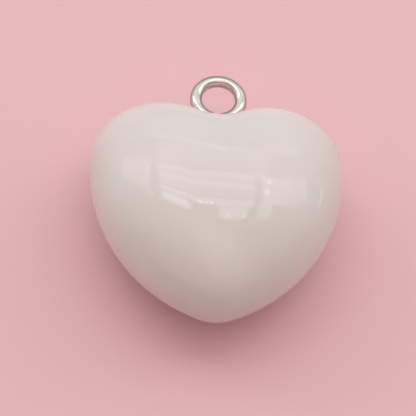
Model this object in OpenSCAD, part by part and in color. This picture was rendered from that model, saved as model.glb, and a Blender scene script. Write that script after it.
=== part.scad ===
// Puffed heart charm: a solid resin heart with a wire screw eye set in the notch between its lobes.
// It lies on its back. +Z points out of its front, +Y from the tip to the eye, and the origin is on
// the surface it lies on, under the middle of its whole length.

/* [Heart] */
// Width across the arcs of the two lobes; the flanks swell past it a little
heart_w = 22.6; // [18:0.1:26]
// Height of the heart from the tops of the lobes to the tip
heart_h = 21.6; // [19:0.1:26]
// Thickness of the heart from its front to its back
heart_t = 12.4; // [8:0.1:16]
// Radius of each lobe
lobe_r = 5.8; // [5:0.1:7.5]
// Radius of the valley between the lobes
notch_r = 3.5; // [1.5:0.1:8]
// Radius of the long curve down each flank
flank_r = 15.8; // [14:0.1:40]
// Radius of the tip
tip_r = 4.3; // [1:0.1:5]
// Distance of the thickest point below the tops of the lobes
crown_drop = 9.6; // [8:0.1:12]
// How soon the valley fades out on its way from the rim to the thickest point
valley_fade = 1.7; // [0.7:0.1:3]

/* [Screw eye] */
// Diameter of the wire
wire_d = 1.05; // [0.8:0.05:1.6]
// Diameter of the shank, turned down a little from the wire
shank_d = 1; // [0.7:0.02:1.6]
// Inside diameter of the loop
loop_inner_d = 3.05; // [2:0.05:6]
// How far the middle of the loop sits to one side of the shank
loop_shift = 0.15; // [0:0.05:0.4]
// Inside radius of the bend where the loop leaves the shank
bend_inner_r = 0.2; // [0.1:0.05:0.6]
// Slit between the end of the wire and the bend, where the loop closes
loop_slit = 0.12; // [0.05:0.01:0.5]
// Straight length of bare wire that shows above the valley
neck_len = 0.5; // [0.1:0.05:1]
// Straight length of bare wire inside the heart, above the thread
collar_len = 0.8; // [0.3:0.1:2]
// Length of the threaded part
thread_len = 5; // [2:0.1:7]
// Distance from one turn of the thread to the next
thread_pitch = 0.5; // [0.3:0.05:0.8]
// Depth of the thread
thread_depth = 0.13; // [0.05:0.01:0.2]
// Length of the pointed end
point_len = 0.7; // [0.3:0.1:1.5]

/* [Hole for the shank] */
// Gap between the shank and the wall of its hole, all round
hole_gap = 0.05; // [0.02:0.01:0.2]
// Depth of the hole past the end of the shank
hole_spare = 0.3; // [0.1:0.1:1]

/* [Smoothness] */
// Length of one step along the outline
outline_step = 0.7; // [0.5:0.02:1.5]
// Steps from the rim of the heart to its thickest point
crown_steps = 20; // [10:1:24]

/* [Hidden] */
$fn = 64;
resin = [0.93, 0.90, 0.87];
plated = [0.76, 0.76, 0.74];

// Centres of the outline's arcs on the right half, measured from the tops of the lobes
lobe_c = [heart_w / 2 - lobe_r, -lobe_r];
notch_reach = notch_r + lobe_r;
notch_c = [0, lobe_c.y + sqrt(notch_reach * notch_reach - lobe_c.x * lobe_c.x)];
tip_c = [0, tip_r - heart_h];
flank_c = arc_centre(lobe_c, flank_r - lobe_r, tip_c, flank_r - tip_r);

// Directions in which neighbouring arcs meet, as seen from their centres
notch_end = bearing(notch_c, lobe_c);
lobe_start = bearing(lobe_c, notch_c);
lobe_end = bearing(flank_c, lobe_c);
flank_end = bearing(flank_c, tip_c);

// Level line round the thickest point
crown = [0, -crown_drop];
oval = [heart_w / 2, heart_h / 2];

// Sizes of the eye
wire_r = wire_d / 2;
shank_r = shank_d / 2;
loop_r = loop_inner_d / 2 + wire_r;
bend_r = bend_inner_r + wire_r;
bend_aside = bend_r - loop_shift;
bend_reach = loop_r + bend_r;
bend_drop = sqrt(bend_reach * bend_reach - bend_aside * bend_aside);
bend_turn = atan2(bend_drop, bend_aside);
closing_turn = asin((bend_r + wire_r + loop_slit) / bend_reach);
thread_turns = floor(thread_len / thread_pitch + 0.01);
root_r = shank_r - thread_depth;
point_r = root_r / 3;

// Places along Y, measured from the tops of the lobes
valley_y = notch_c.y - notch_r;
neck_y = valley_y + neck_len;
loop_y = neck_y + bend_drop;
hole_depth = collar_len + thread_len + point_len + hole_spare;
hole_start = valley_y + notch_r / 2;

// Length by which the shank reaches into the bend
lap = 0.05;

// Place of the charm in its own frame
whole_len = heart_h + loop_y + loop_r + wire_r;
tops = [0, heart_h - whole_len / 2, heart_t / 2];

// Direction from one point to another, in degrees
function bearing(from, to) = atan2(to.y - from.y, to.x - from.x);

// Centre of the arc that lies at distance ra from point a and rb from point b, on the far side from the edge
function arc_centre(a, ra, b, rb) =
    let (
        gap = norm(b - a),
        along = (ra * ra - rb * rb + gap * gap) / (2 * gap),
        aside = sqrt(ra * ra - along * along),
        e = (b - a) / gap
    )
    a + along * e + aside * [e.y, -e.x];

// Points of one arc, without its last point, in equal steps no longer than outline_step
function arc_points(centre, r, from, to) =
    let (steps = max(2, ceil(abs(to - from) * PI / 180 * r / outline_step)))
    [for (i = [0:steps - 1]) let (a = from + (to - from) * i / steps) centre + r * [cos(a), sin(a)]];

// Right half of the outline, from the bottom of the valley to the point just before the tip
half_outline = [
    each arc_points(notch_c, notch_r, -90, notch_end),
    each arc_points(lobe_c, lobe_r, lobe_start, lobe_end),
    each arc_points(flank_c, flank_r, lobe_end, flank_end),
    each arc_points(tip_c, tip_r, flank_end, -90)
];

// Whole outline, clockwise as seen from the front
outline = [
    each half_outline,
    [0, -heart_h],
    for (i = [len(half_outline) - 1:-1:1]) [-half_outline[i].x, half_outline[i].y]
];

// Radius of the crown's oval in the direction of a unit vector
function oval_radius(u) = oval.x * oval.y / norm([oval.y * u.x, oval.x * u.y]);

// Point of the puffed surface towards outline point p: t is 0 at the thickest point, 90 at the rim
function puff_point(p, t, side) =
    let (
        ray = p - crown,
        rim = norm(ray),
        u = ray / rim,
        out = sin(t),
        heartness = pow(out, valley_fade),
        r = out * (oval_radius(u) + (rim - oval_radius(u)) * heartness)
    )
    [crown.x + r * u.x, crown.y + r * u.y, side * cos(t) * heart_t / 2];

// Closed puffed heart, built from rings of points between the thickest point in front and the one behind
module puffed_heart() {
    around = len(outline);
    rings = 2 * crown_steps - 1;
    step = 90 / crown_steps;
    points = [
        [crown.x, crown.y, heart_t / 2],
        for (k = [1:rings])
            let (t = k <= crown_steps ? k * step : 180 - k * step, side = k <= crown_steps ? 1 : -1)
            for (p = outline) puff_point(p, t, side),
        [crown.x, crown.y, -heart_t / 2]
    ];
    last = len(points) - 1;
    faces = [
        for (i = [0:around - 1]) let (j = (i + 1) % around) [0, 1 + i, 1 + j],
        for (k = [0:rings - 2], i = [0:around - 1])
            let (j = (i + 1) % around, a = 1 + k * around, b = a + around)
            each [[a + i, b + i, b + j], [a + i, b + j, a + j]],
        for (i = [0:around - 1])
            let (j = (i + 1) % around, a = 1 + (rings - 1) * around)
            [a + i, last, a + j]
    ];
    polyhedron(points, faces, convexity = 4);
}

// Wire bent through an angle, in the plane of the heart, about a centre on the X axis
module bent_wire(centre_x, r, from, angle) {
    translate([centre_x, 0, 0]) rotate([0, 0, from])
        rotate_extrude(angle = angle) translate([r, 0]) circle(r = wire_r);
}

// Straight shank along Y: a bare length from its top down, a row of ridges for the thread, then a point
module shank(top) {
    bare_len = top - valley_y + collar_len;
    turns = [
        for (i = [0:thread_turns - 1])
            let (z = bare_len + i * thread_pitch)
            each [[root_r, z], [shank_r, z + thread_pitch / 2]]
    ];
    translate([0, top, 0]) rotate([90, 0, 0])
        rotate_extrude()
            polygon([
                [0, 0],
                [shank_r, 0],
                [shank_r, bare_len],
                each turns,
                [root_r, bare_len + thread_len],
                [point_r, bare_len + thread_len + point_len],
                [0, bare_len + thread_len + point_len]
            ]);
}

module heart_body() {
    color(resin)
        translate(tops)
            difference() {
                puffed_heart();
                translate([0, hole_start, 0]) rotate([90, 0, 0])
                    cylinder(r = shank_r + hole_gap, h = hole_start - valley_y + hole_depth);
            }
}

module screw_eye() {
    color(plated)
        translate(tops)
            union() {
                // The loop and the bend meet on the X axis of a frame turned with them
                translate([loop_shift, loop_y, 0]) rotate([0, 0, -bend_turn]) {
                    bent_wire(0, loop_r, 0, 360 - closing_turn);
                    bent_wire(bend_reach, bend_r, 180, bend_turn);
                }
                shank(neck_y + lap);
            }
}

heart_body();
screw_eye();
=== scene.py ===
"""Looks of the heart charm: a milky resin heart and a plated wire screw eye, lying on a pale floor."""

import math

import bpy
import numpy as np
from mathutils import Matrix, Vector


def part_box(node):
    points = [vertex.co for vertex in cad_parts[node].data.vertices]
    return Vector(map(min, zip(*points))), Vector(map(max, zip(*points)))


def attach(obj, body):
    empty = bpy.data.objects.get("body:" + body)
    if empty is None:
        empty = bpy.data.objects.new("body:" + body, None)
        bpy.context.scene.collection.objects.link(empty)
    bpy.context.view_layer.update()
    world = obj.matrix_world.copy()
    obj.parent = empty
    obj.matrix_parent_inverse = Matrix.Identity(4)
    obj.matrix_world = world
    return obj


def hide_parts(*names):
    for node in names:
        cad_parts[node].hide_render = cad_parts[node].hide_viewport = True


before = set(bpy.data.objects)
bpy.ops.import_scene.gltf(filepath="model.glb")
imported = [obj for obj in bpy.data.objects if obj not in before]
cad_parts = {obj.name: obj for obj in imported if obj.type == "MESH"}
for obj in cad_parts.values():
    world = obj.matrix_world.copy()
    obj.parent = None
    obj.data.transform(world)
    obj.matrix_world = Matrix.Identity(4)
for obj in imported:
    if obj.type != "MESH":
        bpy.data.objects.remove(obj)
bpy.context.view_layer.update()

MM = 0.001

# Outline of the heart, in metres: width over its lobes, radii of its arcs, and how far below the tops of
# the lobes the thickest point lies. The fade says how soon the valley runs out on its way to that point.
LOBES_W = 22.6 * MM
LOBE_R = 5.8 * MM
NOTCH_R = 3.5 * MM
FLANK_R = 15.8 * MM
TIP_R = 4.3 * MM
CROWN_DROP = 9.6 * MM
VALLEY_FADE = 1.7

# Wire of the eye and the hole for its shank, in metres. The point ends at a share of the thread's root.
SHANK_R = 0.5 * MM
BEND_INNER_R = 0.2 * MM
LOOP_SLIT = 0.12 * MM
NECK_LEN = 0.5 * MM
COLLAR_LEN = 0.8 * MM
THREAD_LEN = 5 * MM
THREAD_PITCH = 0.5 * MM
THREAD_DEPTH = 0.13 * MM
POINT_LEN = 0.7 * MM
POINT_SHARE = 1 / 3
HOLE_GAP = 0.05 * MM
HOLE_SPARE = 0.3 * MM

# Fineness of the meshes
OUTLINE_STEP = 0.24 * MM
CROWN_STEPS = 72
DRILL_SIDES = 48
WIRE_SIDES = 40
WIRE_STEP = 0.06 * MM
THREAD_STEP = 0.035 * MM

# Sizes that the frame gives
heart_low, heart_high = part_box("heart_body")
eye_low, eye_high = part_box("screw_eye")
heart_h = heart_high.y - heart_low.y
heart_t = heart_high.z - heart_low.z
mid_z = (heart_high.z + heart_low.z) / 2
wire_r = (eye_high.z - eye_low.z) / 2
loop_r = (eye_high.x - eye_low.x) / 2 - wire_r
loop_x = (eye_high.x + eye_low.x) / 2


def bearing(start, end):
    """Direction from one point to another, in radians."""
    return math.atan2(end[1] - start[1], end[0] - start[0])


def arc_centre(a, ra, b, rb):
    """Centre of the arc at distance ra from point a and rb from point b, on the inner side of the edge."""
    gap = (b - a).length
    along = (ra * ra - rb * rb + gap * gap) / (2 * gap)
    aside = math.sqrt(ra * ra - along * along)
    e = (b - a) / gap
    return a + along * e + aside * Vector((e.y, -e.x))


def arc_points(centre, r, start, end):
    """Points of one arc, without its last point."""
    steps = max(2, math.ceil(abs(end - start) * r / OUTLINE_STEP))
    turns = [start + (end - start) * i / steps for i in range(steps)]
    return [(centre[0] + r * math.cos(a), centre[1] + r * math.sin(a)) for a in turns]


def heart_outline():
    """Outline of the heart, clockwise from the bottom of the valley, and the height of that bottom."""
    top = heart_high.y
    lobe_c = Vector((LOBES_W / 2 - LOBE_R, top - LOBE_R))
    reach = NOTCH_R + LOBE_R
    notch_c = Vector((0, lobe_c.y + math.sqrt(reach * reach - lobe_c.x ** 2)))
    tip_c = Vector((0, heart_low.y + TIP_R))
    flank_c = arc_centre(lobe_c, FLANK_R - LOBE_R, tip_c, FLANK_R - TIP_R)
    down = -math.pi / 2
    arcs = [
        (notch_c, NOTCH_R, down, bearing(notch_c, lobe_c)),
        (lobe_c, LOBE_R, bearing(lobe_c, notch_c), bearing(flank_c, lobe_c)),
        (flank_c, FLANK_R, bearing(flank_c, lobe_c), bearing(flank_c, tip_c)),
        (tip_c, TIP_R, bearing(flank_c, tip_c), down),
    ]
    right = [p for arc in arcs for p in arc_points(*arc)]
    tip = [(0.0, heart_low.y)]
    left = [(-x, y) for x, y in reversed(right[1:])]
    return np.array(right + tip + left), notch_c.y - NOTCH_R


outline, valley_y = heart_outline()
crown = np.array([0.0, heart_high.y - CROWN_DROP])
neck_y = valley_y + NECK_LEN
bend_r = BEND_INNER_R + wire_r
bend_aside = bend_r - loop_x
loop_y = neck_y + math.sqrt((loop_r + bend_r) ** 2 - bend_aside ** 2)


def puffed_points():
    """Rings of points over the puffed heart, from the crown in front round the rim to the crown behind."""
    ray = outline - crown
    rim = np.linalg.norm(ray, axis=1)
    u = ray / rim[:, None]
    oval = np.array([LOBES_W / 2, heart_h / 2])
    oval_r = oval[0] * oval[1] / np.hypot(oval[1] * u[:, 0], oval[0] * u[:, 1])
    rings = []
    for k in range(1, 2 * CROWN_STEPS):
        t = math.pi / 2 * k / CROWN_STEPS
        out = math.sin(t)
        r = out * (oval_r + (rim - oval_r) * out ** VALLEY_FADE)
        z = np.full((len(r), 1), mid_z + heart_t / 2 * math.cos(t))
        rings.append(np.hstack([crown + u * r[:, None], z]))
    return rings


def mesh_object(name, points, faces, material):
    """A smooth-shaded mesh that shows a material, in the scene."""
    mesh = bpy.data.meshes.new(name)
    mesh.from_pydata([tuple(p) for p in points], [], faces)
    mesh.update()
    mesh.shade_smooth()
    mesh.materials.append(material)
    piece = bpy.data.objects.new(name, mesh)
    bpy.context.scene.collection.objects.link(piece)
    return piece


def skin(rings):
    """Points and faces of a closed skin over rings of equal length, with a fan of triangles at each end."""
    around = len(rings[0])
    faces = []
    for k in range(len(rings) - 1):
        a, b = k * around, (k + 1) * around
        for i in range(around):
            j = (i + 1) % around
            faces.append((a + i, b + i, b + j, a + j))
    points = np.vstack([*rings, rings[0].mean(0), rings[-1].mean(0)])
    first, last = len(points) - 2, len(points) - 1
    last_ring = (len(rings) - 1) * around
    faces += [(first, i, (i + 1) % around) for i in range(around)]
    faces += [(last, last_ring + (i + 1) % around, last_ring + i) for i in range(around)]
    return points, faces


def cylinder_rings(r, top, bottom):
    """Two rings of a bar along Y on the heart's axis, turned so that no edge lies on its middle line."""
    turns = np.linspace(0, 2 * math.pi, DRILL_SIDES, endpoint=False) + math.pi / DRILL_SIDES
    ring = np.stack([r * np.cos(turns), np.zeros(DRILL_SIDES), mid_z + r * np.sin(turns)], 1)
    return [ring + (0, top, 0), ring + (0, bottom, 0)]


def apply_modifiers(piece):
    """Bakes the modifiers of a piece into its mesh."""
    graph = bpy.context.evaluated_depsgraph_get()
    mesh = bpy.data.meshes.new_from_object(piece.evaluated_get(graph))
    piece.modifiers.clear()
    piece.data = mesh


def make_heart(material):
    """The puffed heart, with the blind hole for the shank drilled from the valley."""
    points, faces = skin(puffed_points())
    points[-2] = (*crown, mid_z + heart_t / 2)
    points[-1] = (*crown, mid_z - heart_t / 2)
    heart = mesh_object("resin_heart", points, faces, material)
    depth = COLLAR_LEN + THREAD_LEN + POINT_LEN + HOLE_SPARE
    bar = cylinder_rings(SHANK_R + HOLE_GAP, valley_y + NOTCH_R / 2, valley_y - depth)
    drill = mesh_object("drill", *skin(bar), material)
    cut = heart.modifiers.new("shank hole", "BOOLEAN")
    cut.operation = "DIFFERENCE"
    cut.solver = "EXACT"
    cut.object = drill
    apply_modifiers(heart)
    bpy.data.objects.remove(drill)
    return heart


def wire_path():
    """Centreline of the bent wire, from its cut end to the top of the neck: points and directions."""
    turn = math.atan2(loop_y - neck_y, bend_aside)
    closing = math.asin((bend_r + wire_r + LOOP_SLIT) / (bend_r + loop_r))
    loop_c, bend_c = (loop_x, loop_y), (bend_r, neck_y)
    path = []
    loop_from, loop_to = 2 * math.pi - closing - turn, -turn
    steps = math.ceil((loop_from - loop_to) * loop_r / WIRE_STEP)
    for i in range(steps + 1):
        a = loop_from + (loop_to - loop_from) * i / steps
        point = (loop_c[0] + loop_r * math.cos(a), loop_c[1] + loop_r * math.sin(a))
        path.append((point, (math.sin(a), -math.cos(a))))
    steps = math.ceil(turn * bend_r / WIRE_STEP)
    for i in range(1, steps + 1):
        a = math.pi - turn + turn * i / steps
        point = (bend_c[0] + bend_r * math.cos(a), bend_c[1] + bend_r * math.sin(a))
        path.append((point, (-math.sin(a), math.cos(a))))
    return path


def shank_path():
    """Centreline of the straight shank, from the top of the neck to the point: points and directions."""
    end_y = valley_y - COLLAR_LEN - THREAD_LEN - POINT_LEN
    steps = math.ceil((neck_y - end_y) / THREAD_STEP)
    heights = [neck_y + (end_y - neck_y) * i / steps for i in range(1, steps + 1)]
    return [((0.0, y), (0.0, -1.0)) for y in heights]


def shank_radius(y, turns):
    """Radius of the shank at height y, for each direction round it: plain collar, helical thread, point."""
    root = SHANK_R - THREAD_DEPTH
    below = valley_y - COLLAR_LEN - y
    if below <= 0:
        return np.full(len(turns), SHANK_R)
    if below > THREAD_LEN:
        along = (below - THREAD_LEN) / POINT_LEN
        return np.full(len(turns), root * (1 - (1 - POINT_SHARE) * along))
    phase = (below / THREAD_PITCH + turns / (2 * math.pi)) % 1.0
    ridge = 1 - np.abs(2 * phase - 1)
    run_in = min(1.0, below / THREAD_PITCH, (THREAD_LEN - below) / THREAD_PITCH)
    return root + THREAD_DEPTH * ridge * run_in


def make_eye(material):
    """The screw eye, one round wire swept from the cut end of its loop to the point of its shank."""
    turns = np.linspace(0, 2 * math.pi, WIRE_SIDES, endpoint=False)
    path = [(point, way, np.full(WIRE_SIDES, wire_r)) for point, way in wire_path()]
    path += [(point, way, shank_radius(point[1], turns)) for point, way in shank_path()]
    up = np.array([0.0, 0.0, 1.0])
    rings = []
    for point, way, r in path:
        side = np.cross([*way, 0.0], up)
        centre = np.array([*point, mid_z])
        rings.append(centre + side * (r * np.cos(turns))[:, None] + up * (r * np.sin(turns))[:, None])
    return mesh_object("wire_screw_eye", *skin(rings), material)


def new_material(name):
    """A new material, its node tree and its Principled shader."""
    material = bpy.data.materials.new(name)
    material.use_nodes = True
    tree = material.node_tree
    return material, tree, tree.nodes["Principled BSDF"]


def object_noise(tree, scale, detail, stretch=(1, 1, 1)):
    """Noise fixed to the piece, at a scale given in features per metre."""
    place = tree.nodes.new("ShaderNodeTexCoord")
    mapping = tree.nodes.new("ShaderNodeMapping")
    mapping.inputs["Scale"].default_value = stretch
    noise = tree.nodes.new("ShaderNodeTexNoise")
    noise.inputs["Scale"].default_value = scale
    noise.inputs["Detail"].default_value = detail
    tree.links.new(place.outputs["Object"], mapping.inputs["Vector"])
    tree.links.new(mapping.outputs["Vector"], noise.inputs["Vector"])
    return noise.outputs["Fac"]


def ramp(tree, value, low, high):
    """A colour ramp over a value, from one stop to another: each is a position and a colour."""
    made = tree.nodes.new("ShaderNodeValToRGB")
    for element, (position, colour) in zip(made.color_ramp.elements, (low, high)):
        element.position = position
        element.color = (*colour, 1)
    tree.links.new(value, made.inputs["Fac"])
    return made.outputs["Color"]


def bump(tree, height, strength, distance, normal=None):
    """A bump from a height, on top of another normal if there is one."""
    made = tree.nodes.new("ShaderNodeBump")
    made.inputs["Strength"].default_value = strength
    made.inputs["Distance"].default_value = distance
    tree.links.new(height, made.inputs["Height"])
    if normal is not None:
        tree.links.new(normal, made.inputs["Normal"])
    return made.outputs["Normal"]


def resin_material():
    """Polished off-white resin: slightly cloudy, with a faint waviness and patches of haze in its gloss."""
    material, tree, shader = new_material("milky_resin")
    cloud = object_noise(tree, 160, 3)
    colour = ramp(tree, cloud, (0.3, (0.755, 0.732, 0.7)), (0.7, (0.80, 0.777, 0.745)))
    tree.links.new(colour, shader.inputs["Base Color"])
    haze = object_noise(tree, 420, 4)
    rough = ramp(tree, haze, (0.3, (0.06,) * 3), (0.75, (0.09,) * 3))
    tree.links.new(rough, shader.inputs["Roughness"])
    waves = bump(tree, object_noise(tree, 330, 1), 0.2, 0.00004)
    tree.links.new(waves, shader.inputs["Normal"])
    shader.inputs["IOR"].default_value = 1.55
    shader.inputs["Subsurface Weight"].default_value = 0.15
    shader.inputs["Subsurface Radius"].default_value = (1.0, 0.8, 0.7)
    shader.inputs["Subsurface Scale"].default_value = 0.0012
    return material


def plating_material():
    """Bright nickel-coloured plating with fine handling marks, slightly duller patches, and a dark edge tint
    that paints shade along the wire's rims.
    """
    material, tree, shader = new_material("nickel_plating")
    patches = object_noise(tree, 700, 3)
    colour = ramp(tree, patches, (0.3, (0.65, 0.625, 0.58)), (0.7, (0.72, 0.70, 0.655)))
    tree.links.new(colour, shader.inputs["Base Color"])
    dull = object_noise(tree, 2600, 4)
    rough = ramp(tree, dull, (0.3, (0.05,) * 3), (0.75, (0.1,) * 3))
    tree.links.new(rough, shader.inputs["Roughness"])
    marks = bump(tree, object_noise(tree, 3000, 3, (1, 1, 0.25)), 0.25, 0.00001)
    dents = bump(tree, object_noise(tree, 900, 1), 0.3, 0.00004, marks)
    tree.links.new(dents, shader.inputs["Normal"])
    shader.inputs["Metallic"].default_value = 1.0
    # Painted shade: this dark edge tint darkens the wire towards its rims, in place of the shaded
    # surroundings that the plating reflects there.
    shader.inputs["Specular Tint"].default_value = (0.3, 0.27, 0.24, 1)
    return material


# The camera leans from straight overhead towards the tip, and looks from a little to the left
CAMERA_LEAN = math.radians(32.3)
CAMERA_SWING = math.radians(4.5)
CAMERA_TURN = math.radians(-0.36)
CAMERA_DISTANCE = 0.25
PIXELS = 416
PIXELS_PER_METRE = 11223
CROWN_PIXEL = (216.3, 202.0)


def add_camera():
    """The camera of the photograph, placed so that the crown falls on its pixel."""
    right = Vector((math.cos(CAMERA_SWING), 0, math.sin(CAMERA_SWING)))
    back = Vector((
        -math.sin(CAMERA_SWING) * math.cos(CAMERA_LEAN),
        -math.sin(CAMERA_LEAN),
        math.cos(CAMERA_SWING) * math.cos(CAMERA_LEAN),
    ))
    up = back.cross(right)
    turn = Matrix.Rotation(-CAMERA_TURN, 3, back)
    right, up = turn @ right, turn @ up
    target = Vector((crown[0], crown[1], mid_z))
    target -= right * (CROWN_PIXEL[0] - PIXELS / 2) / PIXELS_PER_METRE
    target += up * (CROWN_PIXEL[1] - PIXELS / 2) / PIXELS_PER_METRE
    data = bpy.data.cameras.new("photo_camera")
    data.sensor_width = 36
    data.lens = data.sensor_width * CAMERA_DISTANCE * PIXELS_PER_METRE / PIXELS
    data.clip_start, data.clip_end = 0.01, 10
    camera = bpy.data.objects.new("photo_camera", data)
    axes = Matrix((right, up, back)).transposed()
    camera.matrix_world = Matrix.Translation(target + back * CAMERA_DISTANCE) @ axes.to_4x4()
    bpy.context.scene.collection.objects.link(camera)
    bpy.context.scene.camera = camera


def add_floor():
    """A plain pale floor under the charm."""
    material, tree, shader = new_material("pale_floor")
    shader.inputs["Base Color"].default_value = (0.858, 0.554, 0.59, 1)
    shader.inputs["Roughness"].default_value = 0.9
    half = 1.5
    corners = [(-half, -half, 0), (half, -half, 0), (half, half, 0), (-half, half, 0)]
    floor = mesh_object("floor", corners, [(0, 1, 2, 3)], material)


# The light, as the gloss and the shading of the charm show it. Directions are an azimuth from +Y towards +X
# and an elevation, in degrees.
NEUTRAL = (1.0, 1.0, 1.0)
WARM = (1.0, 0.78, 0.71)

# Lobes of the surround: azimuth, elevation, strength, sharpness and colour
SURROUND_LOBES = [
    (180, 75, 1.0, 14, WARM),
    (0, 50, 0.25, 4, NEUTRAL),
    (0, 20, 0.22, 4, NEUTRAL),
    (60, 20, 0.79, 4, NEUTRAL),
    (-60, 20, 0.91, 4, NEUTRAL),
    (120, 45, 0.48, 4, WARM),
    (-120, 45, 0.44, 4, WARM),
]

# Panes of light on a plane overhead: places and sizes in millimetres, turns in degrees
PANE_HEIGHT = 400 * MM
PANES = {
    "left_pane": {"middle": (-572, 380), "size": (560, 206), "turn": -28, "radiance": 0.8},
    "left_edge": {"middle": (-338, 205), "size": (60, 215), "turn": -6, "radiance": 0.7},
    "left_gap": {"middle": (-171, 86), "size": (150, 26), "turn": -24, "radiance": 1.3},
    "left_sill": {"middle": (-166, 63), "size": (156, 32), "turn": -21, "radiance": 1.9},
    "right_sill": {"middle": (78, 24), "size": (124, 50), "turn": 0, "radiance": 1.6},
    "corner_sill": {"middle": (230, 38), "size": (88, 78), "turn": 0, "radiance": 1.25},
    "right_pane": {"middle": (290, 165), "size": (190, 165), "turn": 8, "radiance": 1.25},
    "right_edge": {"middle": (560, 250), "size": (380, 225), "turn": 22, "radiance": 0.85},
    "far_glow": {"middle": (-20, 320), "size": (500, 190), "turn": -8, "radiance": 0.45},
    "far_left": {"middle": (-130, 505), "size": (420, 55), "turn": -35, "radiance": 0.6},
    "far_middle": {"middle": (140, 412), "size": (220, 50), "turn": 10, "radiance": 0.45},
    "far_right": {"middle": (415, 565), "size": (350, 110), "turn": 32, "radiance": 0.5},
}

# Slats of the middle pane: how far each lies towards +Y and its depth, in millimetres, and its radiance.
# From their left end they slant towards -Y as far as a fold, and from there on they run along X.
SLATS = [(196, 26, 1.4), (169, 28, 0.9), (143, 24, 1.7), (107, 46, 0.9), (65, 26, 1.8)]
SLATS_START, SLATS_FOLD, SLATS_END = -240, -60, 158
SLATS_SLOPE = math.radians(-24.8)

# Small bright discs just below the panes: place and size, in millimetres, and the radiance that a square of
# that size would have with the same power
SPOTS = [
    (231, 201, 26, 2.3),
    (221, 141, 26, 2.5),
    (-53, 56, 8, 5.0),
    (-33, 57, 8, 4.0),
    (-12, 60, 8, 5.0),
    (58, 17, 16, 1.5),
    (122, 9, 16, 1.5),
    (-298, 112, 10, 4.0),
]

# A thin strip low at one side, with its distance and size in metres
SIDE_STRIP = {"azimuth": 71, "elevation": 8, "distance": 1.0, "size": (0.22, 0.02), "radiance": 3.0}


def direction(azimuth, elevation):
    """Unit vector towards an azimuth and an elevation given in degrees."""
    a, e = math.radians(azimuth), math.radians(elevation)
    return Vector((math.sin(a) * math.cos(e), math.cos(a) * math.cos(e), math.sin(e)))


def area_light(name, place, size, radiance, shape="RECTANGLE"):
    """A soft lamp that points straight down, with the power that gives a rectangle its radiance."""
    data = bpy.data.lights.new(name, "AREA")
    data.shape = shape
    data.size, data.size_y = size
    data.energy = radiance * math.pi * size[0] * size[1]
    lamp = bpy.data.objects.new(name, data)
    lamp.location = place
    bpy.context.scene.collection.objects.link(lamp)
    return lamp


def add_pane(name, rise, middle, size, turn, radiance):
    """One pane of the overhead light, a little above or below the others so that their light adds up."""
    place = (middle[0] * MM, middle[1] * MM, PANE_HEIGHT + rise * MM)
    lamp = area_light(name, place, [s * MM for s in size], radiance)
    lamp.rotation_euler = (0, 0, math.radians(turn))


def add_slats():
    """The middle pane, as slats of uneven brightness that are folded once."""
    for height, depth, radiance in SLATS:
        run = SLATS_FOLD - SLATS_START
        middle = ((SLATS_START + SLATS_FOLD) / 2, height - math.tan(SLATS_SLOPE) * run / 2)
        size = (run / math.cos(SLATS_SLOPE), depth * math.cos(SLATS_SLOPE))
        add_pane("sloping_slat", 0, middle, size, math.degrees(SLATS_SLOPE), radiance)
        middle = ((SLATS_FOLD + SLATS_END) / 2, height)
        add_pane("level_slat", 0, middle, (SLATS_END - SLATS_FOLD, depth), 0, radiance)


def linked_node(tree, kind, operation, *values):
    """A maths node of one operation, with each input linked to an output or set to a plain value."""
    made = tree.nodes.new(kind)
    made.operation = operation
    for socket, value in zip([i for i in made.inputs if i.enabled], values):
        if isinstance(value, bpy.types.NodeSocket):
            tree.links.new(value, socket)
        else:
            socket.default_value = value
    return [o for o in made.outputs if o.enabled][0]


def add_surround():
    """A surround that grows brighter towards a few directions, and is warmer on the camera's side."""
    world = bpy.data.worlds.new("surround")
    world.use_nodes = True
    bpy.context.scene.world = world
    tree = world.node_tree
    way = tree.nodes.new("ShaderNodeTexCoord").outputs["Generated"]
    total = (0.0, 0.0, 0.0)
    for azimuth, elevation, strength, sharpness, colour in SURROUND_LOBES:
        facing = linked_node(tree, "ShaderNodeVectorMath", "DOT_PRODUCT", way, direction(azimuth, elevation))
        facing = linked_node(tree, "ShaderNodeMath", "MAXIMUM", facing, 0.0)
        glow = linked_node(tree, "ShaderNodeMath", "POWER", facing, sharpness)
        tinted = linked_node(tree, "ShaderNodeVectorMath", "SCALE", [c * strength for c in colour], glow)
        total = linked_node(tree, "ShaderNodeVectorMath", "ADD", total, tinted)
    tree.links.new(total, tree.nodes["Background"].inputs["Color"])


def add_lights():
    """The surround, the panes overhead, the small bright discs below them and a thin strip at the side."""
    add_surround()
    add_slats()
    for rise, name in enumerate(PANES, 1):
        add_pane(name, rise, **PANES[name])
    for x, y, size, radiance in SPOTS:
        area_light("spot", (x * MM, y * MM, PANE_HEIGHT - MM), (size * MM,) * 2, radiance, "DISK")
    way = direction(SIDE_STRIP["azimuth"], SIDE_STRIP["elevation"])
    place = way * SIDE_STRIP["distance"]
    strip = area_light("side_strip", place, SIDE_STRIP["size"], SIDE_STRIP["radiance"])
    strip.rotation_euler = (-way).to_track_quat("-Z", "Y").to_euler()


bpy.context.scene.view_settings.view_transform = "Standard"
add_camera()
add_floor()
add_lights()

heart = make_heart(resin_material())
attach(heart, "root")
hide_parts("heart_body")

eye = make_eye(plating_material())
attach(eye, "root")
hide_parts("screw_eye")
